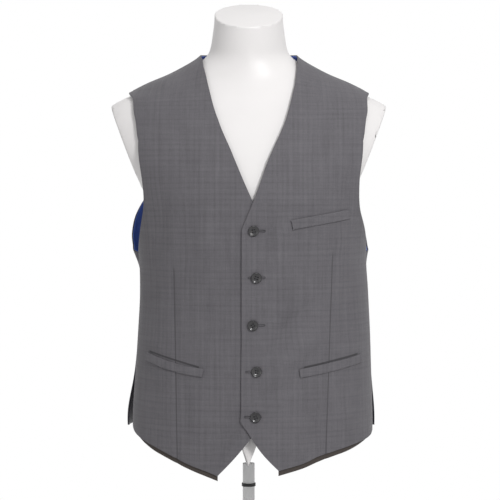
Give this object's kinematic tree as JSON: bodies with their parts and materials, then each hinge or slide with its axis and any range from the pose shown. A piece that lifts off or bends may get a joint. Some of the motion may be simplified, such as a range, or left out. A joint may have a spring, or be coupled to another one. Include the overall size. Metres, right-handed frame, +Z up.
{
  "type": "tailored waistcoat on a torso display form",
  "caption": "Single-breasted grey wool waistcoat with a V neck, welt pockets and a pointed hem, worn buttoned by a smooth white limbless torso on a pole and a round plate.",
  "frame": {"origin": "centre of the underside of the stand's round plate", "axes": "+Z up; the front faces -Y; +X is the wearer's left, at the right of the front view"},
  "size_m": [0.41, 0.3, 0.8714],
  "materials": {
    "wool": "matte grey worsted",
    "back_cloth": "smooth dark twill",
    "lining": "blue satin",
    "facing": "matte dark brown",
    "button": "polished dark horn look",
    "form": "smooth satin white",
    "collar": "matte black",
    "stand": "satin white"
  },
  "bodies": {
    "root": {"form_torso": "form", "stand_plate": "stand", "stand_pole": "stand", "stand_collar": "collar", "front_left": "wool", "front_right": "wool", "chest_welt": "wool", "pocket_welt_left": "wool", "pocket_welt_right": "wool", "hem_facing_left": "facing", "hem_facing_right": "facing", "back_left": "back_cloth", "back_right": "back_cloth", "back_lining_left": "lining", "back_lining_right": "lining", "button_1": "button", "button_2": "button", "button_3": "button", "button_4": "button", "button_5": "button"}
  },
  "joints": []
}
